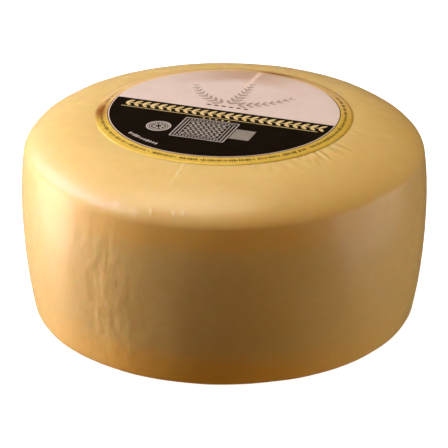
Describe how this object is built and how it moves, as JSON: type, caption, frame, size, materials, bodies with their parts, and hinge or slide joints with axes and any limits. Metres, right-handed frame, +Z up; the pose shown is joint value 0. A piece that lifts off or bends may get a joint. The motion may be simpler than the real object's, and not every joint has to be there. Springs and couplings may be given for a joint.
{
  "type": "whole hard cheese wheel",
  "caption": "Whole uncut wheel of hard, pale golden cheese in skin-tight clear shrink film, with a round foil-edged paper label on its top.",
  "frame": {"origin": "middle of the flat base, on the surface that the wheel rests on", "axes": "+Z up along the wheel's axis; the front that the picture looks at faces -Y, and +X is to its right"},
  "size_m": [0.25, 0.2504, 0.1282],
  "materials": {
    "filmed_rind": "pale golden cheese rind under skin-tight clear film with a soft satin gloss",
    "printed_label": "coated paper, half pinkish cream and half black, with a yellow gold foil ring"
  },
  "bodies": {
    "root": {"wheel": "filmed_rind", "label": "printed_label"}
  },
  "joints": []
}
